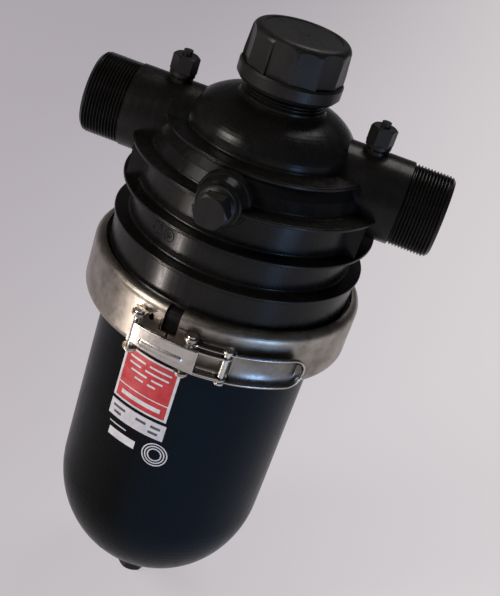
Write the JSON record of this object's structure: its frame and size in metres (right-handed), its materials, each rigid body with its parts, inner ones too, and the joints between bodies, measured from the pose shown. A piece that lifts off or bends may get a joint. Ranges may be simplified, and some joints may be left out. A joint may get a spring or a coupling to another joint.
{
  "type": "inline water filter",
  "caption": "Inline disc filter: ribbed black manifold with two threaded ports and a screw cap, and a rounded bowl held on by a hinged steel band clamp with an over-centre latch.",
  "frame": {"origin": "where the line through the two ports crosses the filter's own axis", "axes": "+X along the ports towards the outlet, +Z along the filter's axis towards the screw cap; the clamp's latch and the hex plug face -Y"},
  "size_m": [0.264, 0.2264, 0.4939],
  "materials": {
    "housing": "satin black moulded nylon",
    "bowl": "smooth satin black moulded nylon",
    "cap": "satin black moulded nylon",
    "seal": "matt",
    "steel": "satin stainless sheet",
    "latch": "bright satin stainless",
    "pin": "turned stainless",
    "discs": "grooved plastic discs",
    "cartridge": "moulded plastic",
    "helix": "moulded plastic",
    "label": "printed film",
    "strip": "printed film",
    "badge": "printed film"
  },
  "bodies": {
    "housing": {"manifold": "housing", "test_nipple_left": "housing", "test_nipple_right": "housing", "bowl": "bowl", "bowl_seal": "seal", "helix_ring": "helix", "cartridge_spine": "cartridge", "spine_seal": "seal", "disc_stack": "discs", "cartridge_end_plate": "cartridge", "cartridge_spring": "pin", "notice_panel": "label", "grade_strip": "strip", "ring_badge": "badge"},
    "clamp_right": {"clamp_half_right": "steel", "clamp_hinge_pin": "pin", "lever_bracket": "steel", "lever_bracket_rivets": "pin", "lever_pin_upright": "pin"},
    "clamp_left": {"clamp_half_left": "steel", "keeper_bracket": "steel", "keeper_bracket_rivets": "pin", "keeper_pin": "pin"},
    "lever": {"latch_lever": "latch", "link_pin_upright": "pin"},
    "link": {"latch_link": "latch"},
    "cap_lift": {"cap_gasket": "seal"},
    "cap_turn": {"screw_cap": "cap"},
    "test_left_lift": {"test_seal_left": "seal"},
    "test_left_turn": {"test_cap_left": "cap"},
    "test_right_lift": {"test_seal_right": "seal"},
    "test_right_turn": {"test_cap_right": "cap"},
    "front_plug_shift": {"front_plug_seal": "seal"},
    "front_plug_turn": {"front_plug": "cap"},
    "drain_shift": {"drain_plug_seal": "seal"},
    "drain_turn": {"drain_plug": "cap"},
    "nut_shift": {"spring_washer": "pin"},
    "nut_turn": {"cartridge_nut": "cartridge"}
  },
  "joints": [
    {"name": "clamp_right_swing", "type": "hinge", "parent": "housing", "child": "clamp_right", "pos_m": [0.01496, 0.10645, -0.11], "axis": [0, 0, 1], "range_deg": [0, 40]},
    {"name": "clamp_left_swing", "type": "hinge", "parent": "housing", "child": "clamp_left", "pos_m": [0.01496, 0.10645, -0.11], "axis": [0, 0, -1], "range_deg": [0, 40]},
    {"name": "lever_swing", "type": "hinge", "parent": "clamp_right", "child": "lever", "pos_m": [0.00283, -0.10796, -0.1139], "axis": [0, 0, -1], "range_deg": [0, 150]},
    {"name": "link_swing", "type": "hinge", "parent": "lever", "child": "link", "pos_m": [0.02931, -0.10498, -0.1139], "axis": [0, 0, 1], "range_deg": [0, 150]},
    {"name": "cap_lift", "type": "slide", "parent": "housing", "child": "cap_lift", "axis": [0, 0, 1], "range_m": [0, 0.031]},
    {"name": "cap_turn", "type": "hinge", "parent": "cap_lift", "child": "cap_turn", "pos_m": [0, 0, 0.08], "axis": [0, 0, 1], "range_deg": [0, 4834.3]},
    {"name": "test_left_lift", "type": "slide", "parent": "housing", "child": "test_left_lift", "axis": [0, 0, 1], "range_m": [0, 0.009]},
    {"name": "test_left_turn", "type": "hinge", "parent": "test_left_lift", "child": "test_left_turn", "pos_m": [-0.073, 0, 0.04], "axis": [0, 0, 1], "range_deg": [0, 3241]},
    {"name": "test_right_lift", "type": "slide", "parent": "housing", "child": "test_right_lift", "axis": [0, 0, 1], "range_m": [0, 0.009]},
    {"name": "test_right_turn", "type": "hinge", "parent": "test_right_lift", "child": "test_right_turn", "pos_m": [0.073, 0, 0.04], "axis": [0, 0, 1], "range_deg": [0, 3241]},
    {"name": "front_plug_lift", "type": "slide", "parent": "housing", "child": "front_plug_shift", "axis": [-0.0958, -0.9954, 0], "range_m": [0, 0.0155]},
    {"name": "front_plug_turn", "type": "hinge", "parent": "front_plug_shift", "child": "front_plug_turn", "pos_m": [-0.00958, -0.09954, -0.007], "axis": [-0.0958, -0.9954, 0], "range_deg": [0, 3077.1]},
    {"name": "drain_plug_lift", "type": "slide", "parent": "housing", "child": "drain_shift", "axis": [0, 0, -1], "range_m": [0, 0.0155]},
    {"name": "drain_plug_turn", "type": "hinge", "parent": "drain_shift", "child": "drain_turn", "pos_m": [0, 0, -0.4], "axis": [0, 0, -1], "range_deg": [0, 3077.1]},
    {"name": "nut_lift", "type": "slide", "parent": "housing", "child": "nut_shift", "axis": [0, 0, -1], "range_m": [0, 0.01], "deforming": ["cartridge_spring"]},
    {"name": "nut_turn", "type": "hinge", "parent": "nut_shift", "child": "nut_turn", "pos_m": [0, 0, -0.33], "axis": [0, 0, -1], "range_deg": [0, 2058.1]}
  ],
  "couplings": [
    {"joint": "clamp_left_swing", "follows": "clamp_right_swing", "ratio": 1},
    {"joint": "lever_swing", "follows": "clamp_right_swing", "ratio": 3.75},
    {"joint": "link_swing", "follows": "clamp_right_swing", "ratio": 3.75},
    {"joint": "cap_turn", "follows": "cap_lift", "rad_per_m": 2721.2},
    {"joint": "test_left_turn", "follows": "test_left_lift", "rad_per_m": 6283.2},
    {"joint": "test_right_turn", "follows": "test_right_lift", "rad_per_m": 6283.2},
    {"joint": "front_plug_turn", "follows": "front_plug_lift", "rad_per_m": 3463.7},
    {"joint": "drain_plug_turn", "follows": "drain_plug_lift", "rad_per_m": 3463.7},
    {"joint": "nut_turn", "follows": "nut_lift", "rad_per_m": 3590.4}
  ]
}
